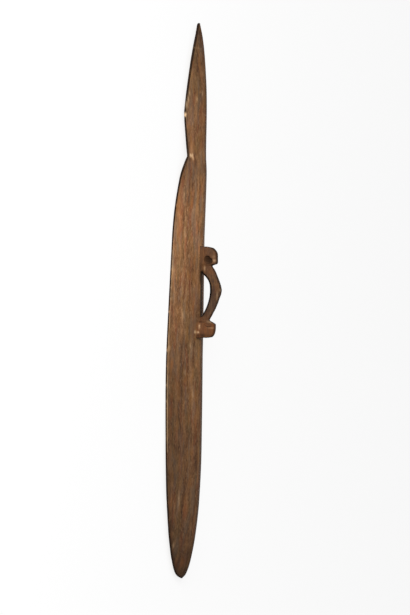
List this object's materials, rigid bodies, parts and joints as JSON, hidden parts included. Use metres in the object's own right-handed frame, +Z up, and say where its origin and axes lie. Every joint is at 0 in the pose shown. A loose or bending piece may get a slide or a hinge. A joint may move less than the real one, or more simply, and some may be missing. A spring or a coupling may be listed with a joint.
{
  "type": "asmat shield",
  "caption": "Tall wooden plank shield with a leaf-shaped head, notched neck and tongue-shaped foot, and a bent grip carved on its back, lying face down.",
  "frame": {"origin": "middle of the bounding box on the surface that the shield lies on, under the board's middle", "axes": "+X along the board towards the foot, the pointed head at -X; +Y across the board; +Z up out of the back, on the side of the handle"},
  "size_m": [1.8991, 0.412, 0.1261],
  "materials": {
    "dark_wood": "matte, hand-rubbed dark brown wood with worn edges"
  },
  "bodies": {
    "root": {"shield": "dark_wood"}
  },
  "joints": []
}
